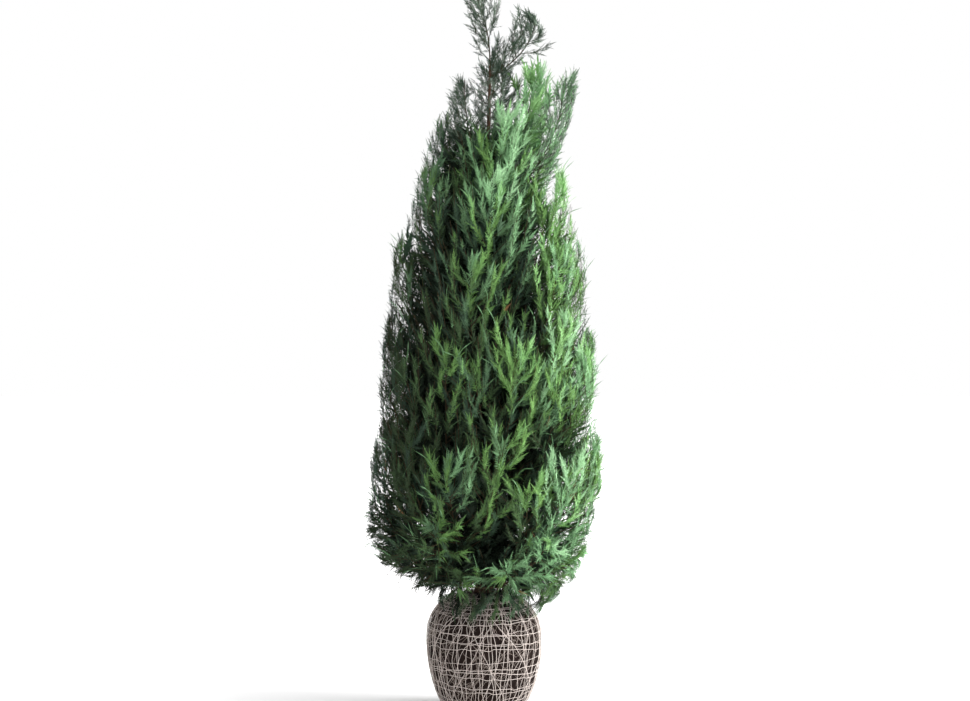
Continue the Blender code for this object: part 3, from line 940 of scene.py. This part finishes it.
def build_soil(finish):
    """The soil, a fine skin over the solid's shape, with crumbs in relief."""
    rng = np.random.default_rng(SOIL_SEED)
    around, up = SOIL_AROUND, SOIL_UP
    phases = rng.uniform(0, 2 * math.pi, (SOIL_WAVES, 2))
    rows = []
    for k in range(up + 1):
        share = k / up
        row = []
        for n in range(around):
            turn = 2 * math.pi * n / around
            relief = sum(
                math.sin((5 + 6 * j) * turn + a + 30 * share) * math.sin((9 + 11 * j) * share + b)
                for j, (a, b) in enumerate(phases)
            )
            relief = relief / 3 + rng.uniform(-0.5, 0.5)
            edge = min(1.0, 8 * share, 8 * (1 - share))
            row.append(ball_point(turn, share, -SOIL_RELIEF + SOIL_RELIEF * 0.8 * relief * edge))
        rows.append(row)
    points = [point for row in rows for point in row]
    foot, crest = len(points), len(points) + 1
    points += [Vector((0, 0, rows[0][0].z)), Vector((0, 0, rows[-1][0].z))]
    triangles = []
    for k in range(up):
        for n in range(around):
            a, b = k * around + n, k * around + (n + 1) % around
            triangles += [(a, b, b + around), (a, b + around, a + around)]
    last = up * around
    for n in range(around):
        after = (n + 1) % around
        triangles += [(foot, after, n), (crest, last + n, last + after)]
    made = object_from_arrays("soil", points, triangles, finish, smooth=True)
    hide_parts("root_ball")


def wander(rng, size, waves):
    """A smooth random wave of a share: the sum of a few sines."""
    sines = [
        (rng.uniform(0.4, 1.0) * size, rng.uniform(*waves), rng.uniform(*ANY_PHASE))
        for _ in range(3)
    ]
    return lambda share: sum(a * math.sin(b * share + c) for a, b, c in sines)


def climbing(turn, drift, sway, low, rise, lift, steps):
    """A string's path up the ball, from one share of its profile on."""
    shares = [n / steps for n in range(steps + 1)]
    return [ball_point(turn + drift * s + sway(s), low + rise * s, lift) for s in shares]


def build_net(string, thread):
    """Uprights, hoops, slants and finer short threads, each with its own wander."""
    rng = random.Random(NET_SEED)
    strings, threads = [], []
    for k in range(UPRIGHTS):
        turn = 2 * math.pi * (k + rng.uniform(-0.45, 0.45)) / UPRIGHTS
        drift, sway = rng.uniform(-UPRIGHT_DRIFT, UPRIGHT_DRIFT), wander(rng, *UPRIGHT_SWAY)
        lift = STRING_LIFT + STRING_RADIUS * rng.uniform(*UPRIGHT_LAYERS)
        strings.append(climbing(turn, drift, sway, 0.01, 0.98, lift, STRING_STEPS))
    for k in range(SLANTS):
        turn = 2 * math.pi * (k + rng.uniform(-0.5, 0.5)) / SLANTS
        turn += THREAD_CROWDING * math.sin(turn)
        drift, sway = rng.choice((-1, 1)) * rng.uniform(*SLANT_DRIFTS), wander(rng, *SLANT_SWAY)
        lift = STRING_LIFT + STRING_RADIUS * rng.uniform(*SLANT_LAYERS)
        strings.append(climbing(turn, drift, sway, 0.02, 0.96, lift, STRING_STEPS))
    for k in range(HOOPS):
        share = HOOP_START + HOOP_RUN * (k + rng.uniform(-0.35, 0.35)) / HOOPS
        ripples = [rng.uniform(-HOOP_RIPPLE, HOOP_RIPPLE) for _ in range(HOOP_STEPS // 2)]
        tilt, phase = rng.uniform(*HOOP_TILTS), rng.uniform(*ANY_PHASE)
        sway = wander(rng, *HOOP_SWAY)
        lift = STRING_LIFT + STRING_RADIUS * rng.uniform(*HOOP_LAYERS)
        hoop = []
        for n in range(HOOP_STEPS + 1):
            turn = 2 * math.pi * n / HOOP_STEPS
            ripple = ripples[n // 2 % len(ripples)]
            place = share + tilt * math.sin(turn + phase) + ripple + sway(turn)
            hoop.append(ball_point(turn, max(place, 0.01), lift))
        strings.append(hoop)
    for k in range(THREADS):
        turn = 2 * math.pi * (k + rng.uniform(-0.5, 0.5)) / THREADS
        turn += THREAD_CROWDING * math.sin(turn)
        drift = rng.choice((-1, 1)) * rng.uniform(*THREAD_DRIFTS)
        low = rng.uniform(0.0, 0.75)
        high = min(0.98, low + rng.uniform(*THREAD_SPANS))
        sway = wander(rng, *SLANT_SWAY)
        lift = STRING_LIFT + THREAD_RADIUS * rng.uniform(*THREAD_LAYERS)
        threads.append(climbing(turn, drift, sway, low, high - low, lift, STRING_STEPS // 2))
    for name, paths, radius, sides, finish in (
        ("net_strings", strings, STRING_RADIUS, STRING_SIDES, string),
        ("net_threads", threads, THREAD_RADIUS, THREAD_SIDES, thread),
    ):
        radii = [[radius * rng.uniform(*STRING_UNEVENNESS)] * len(path) for path in paths]
        points, triangles = tubes_along(paths, radii, sides)
        made = object_from_arrays(name, points, triangles, finish, smooth=True)
        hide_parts("root_ball_net")


# Bark


def build_bark(trunk, limbs, finish, limb_finish):
    """The trunk, with ridged bark in relief, and the limbs."""
    climb = (trunk.top - trunk.foot) / TRUNK_STEPS
    heights = [trunk.foot + climb * k for k in range(TRUNK_STEPS + 1)]
    path = [trunk.centre(height) for height in heights]
    radii = [trunk.radius(height) for height in heights]
    points, triangles = tubes_along([path], [radii], TRUNK_SIDES)
    rng = np.random.default_rng(BARK_SEED)
    angles = np.arange(TRUNK_SIDES) * 2 * math.pi / TRUNK_SIDES
    shares = np.arange(TRUNK_STEPS + 1)[:, None] / TRUNK_STEPS
    relief = np.zeros((TRUNK_STEPS + 1, TRUNK_SIDES))
    for _ in range(BARK_WAVES):
        strips, twist, phase = rng.integers(2, 9), rng.uniform(-9, 9), rng.uniform(*ANY_PHASE)
        breaks = np.sin(shares * rng.uniform(20, 60) + phase)
        relief += np.sin(strips * angles + twist * shares * 6 + phase) * breaks
    rise = np.array(radii)[:, None] * BARK_RELIEF * relief
    offset = points - np.repeat(np.array(path), TRUNK_SIDES, axis=0)
    points = points + unit(offset) * rise.reshape(-1, 1)
    made = object_from_arrays("bark_trunk", points, triangles, finish, smooth=True)
    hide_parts("trunk")
    places = [k / LIMB_STEPS for k in range(LIMB_STEPS + 1)]
    paths = [[limb.at(place) for place in places] for limb in limbs]
    radii = [[limb.radius(place) for place in places] for limb in limbs]
    points, triangles = tubes_along(paths, radii, LIMB_SIDES)
    boughs = object_from_arrays("bark_boughs", points, triangles, limb_finish, smooth=True)
    names = nodes_named("bough_")
    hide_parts(*names)


# Materials


def principled(name, colour, roughness):
    made = bpy.data.materials.new(name)
    made.use_nodes = True
    shader = made.node_tree.nodes["Principled BSDF"]
    shader.inputs["Base Color"].default_value = (*colour, 1.0)
    shader.inputs["Roughness"].default_value = roughness
    shader.inputs["Specular IOR Level"].default_value = SHEEN
    return made, shader


def mottled(name):
    """A material whose colour and bump come from noise in the object's own space."""
    look = MOTTLES[name]
    made, shader = principled(name, look.dark, look.roughness)
    nodes, links = made.node_tree.nodes, made.node_tree.links
    place = nodes.new("ShaderNodeTexCoord")
    mapping = nodes.new("ShaderNodeMapping")
    mapping.inputs["Scale"].default_value = look.stretch
    noise = nodes.new("ShaderNodeTexNoise")
    noise.inputs["Scale"].default_value = look.fineness
    noise.inputs["Detail"].default_value = GRAIN_DETAIL
    mix = nodes.new("ShaderNodeMix")
    mix.data_type = "RGBA"
    mix.inputs["A"].default_value = (*look.dark, 1)
    mix.inputs["B"].default_value = (*look.light, 1)
    bump = nodes.new("ShaderNodeBump")
    bump.inputs["Strength"].default_value = GRAIN_STRENGTH
    bump.inputs["Distance"].default_value = look.depth
    links.new(place.outputs["Object"], mapping.inputs["Vector"])
    links.new(mapping.outputs["Vector"], noise.inputs["Vector"])
    links.new(noise.outputs["Fac"], mix.inputs["Factor"])
    links.new(mix.outputs["Result"], shader.inputs["Base Color"])
    links.new(noise.outputs["Fac"], bump.inputs["Height"])
    links.new(bump.outputs["Normal"], shader.inputs["Normal"])
    return made


# Studio


def build_studio():
    signs = ((-1, -1), (1, -1), (1, 1), (-1, 1))
    corners = [Vector((x * FLOOR_REACH, y * FLOOR_REACH, 0)) for x, y in signs]
    finish, _ = principled("studio floor", FLOOR_COLOUR, FLOOR_ROUGHNESS)
    data = bpy.data.meshes.new("floor")
    data.from_pydata(corners, [], [(0, 1, 2, 3)])
    data.materials.append(finish)
    floor = bpy.data.objects.new("floor", data)
    bpy.context.scene.collection.objects.link(floor)

    world = bpy.data.worlds.new("studio")
    bpy.context.scene.world = world
    world.use_nodes = True
    background = world.node_tree.nodes["Background"]
    background.inputs["Color"].default_value = (1, 1, 1, 1)
    background.inputs["Strength"].default_value = SKY_STRENGTH

    sun = bpy.data.lights.new("key", "SUN")
    sun.energy = KEY_STRENGTH
    sun.angle = KEY_SOFTNESS
    key = bpy.data.objects.new("key", sun)
    key.rotation_euler = KEY_AIM.to_track_quat("-Z", "Y").to_euler()
    bpy.context.scene.collection.objects.link(key)

    lens = bpy.data.cameras.new("camera")
    lens.lens = CAMERA_LENS
    lens.sensor_width = CAMERA_SENSOR
    camera = bpy.data.objects.new("camera", lens)
    camera.location = CAMERA_PLACE
    camera.rotation_euler = (math.radians(90), 0, 0)
    bpy.context.scene.collection.objects.link(camera)
    bpy.context.scene.camera = camera
    bpy.context.scene.view_settings.view_transform = "Standard"


def build_foliage(trunk, limbs, twig):
    """The shoots in one piece, and the sprays of each green in pieces of their own."""
    paths, sprays = grow(trunk, limbs, random.Random(SPRAY_SEED))
    radii = [[SHOOT_RADIUS * share for share in SHOOT_TAPER]] * len(paths)
    points, triangles = tubes_along(paths, radii, SHOOT_SIDES)
    made = object_from_arrays("shoots", points, triangles, twig)

    rng = random.Random(FROND_SEED)
    templates = {
        kind: [frond_template(rng, shape) for _ in range(FROND_VARIANTS)]
        for kind, shape in SHAPES.items()
    }
    masses = nodes_named("foliage_")
    for name, colour in GREENS.items():
        finish, _ = principled("green " + name, colour, GREEN_ROUGHNESS)
        batches = []
        for kind in SHAPES:
            chosen = [spray for spray in sprays if spray.green == name and spray.kind == kind]
            for k, template in enumerate(templates[kind]):
                share = chosen[k::FROND_VARIANTS]
                if share:
                    batches.append(sprays_mesh(share, template))
        for number, (points, triangles) in enumerate(join_up(batches)):
            piece = object_from_arrays(f"sprays_{name}_{number + 1}", points, triangles, finish)
            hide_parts(*masses)


def join_up(batches):
    """Joins meshes into as few as keep under the most triangles."""
    groups, size = [[]], 0
    for points, triangles in batches:
        if size + len(triangles) > MOST_TRIANGLES and groups[-1]:
            groups.append([])
            size = 0
        groups[-1].append((points, triangles))
        size += len(triangles)
    joined = []
    for group in groups:
        offset, all_points, all_triangles = 0, [], []
        for points, triangles in group:
            all_points.append(points)
            all_triangles.append(triangles + offset)
            offset += len(points)
        if all_points:
            joined.append((np.concatenate(all_points), np.concatenate(all_triangles)))
    return joined


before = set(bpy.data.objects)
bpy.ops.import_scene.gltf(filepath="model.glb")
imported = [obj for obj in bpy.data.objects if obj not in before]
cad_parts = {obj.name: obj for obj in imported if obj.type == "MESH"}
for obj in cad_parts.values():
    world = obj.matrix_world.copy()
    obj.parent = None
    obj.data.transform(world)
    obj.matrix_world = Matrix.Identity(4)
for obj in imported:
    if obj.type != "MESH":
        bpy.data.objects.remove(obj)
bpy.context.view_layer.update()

soil = mottled("moist soil")
string = mottled("pale string")
# painted shade: a darker copy of the string's colour for the threads under the strings
thread = mottled("shaded thread")
bark = mottled("bark")
twig = mottled("twig")

build_studio()
trunk = Trunk()
limbs = lay_out_limbs(trunk)
build_soil(soil)
build_net(string, thread)
limbs += side_boughs(limbs)
build_bark(trunk, limbs, bark, twig)
build_foliage(trunk, limbs, twig)
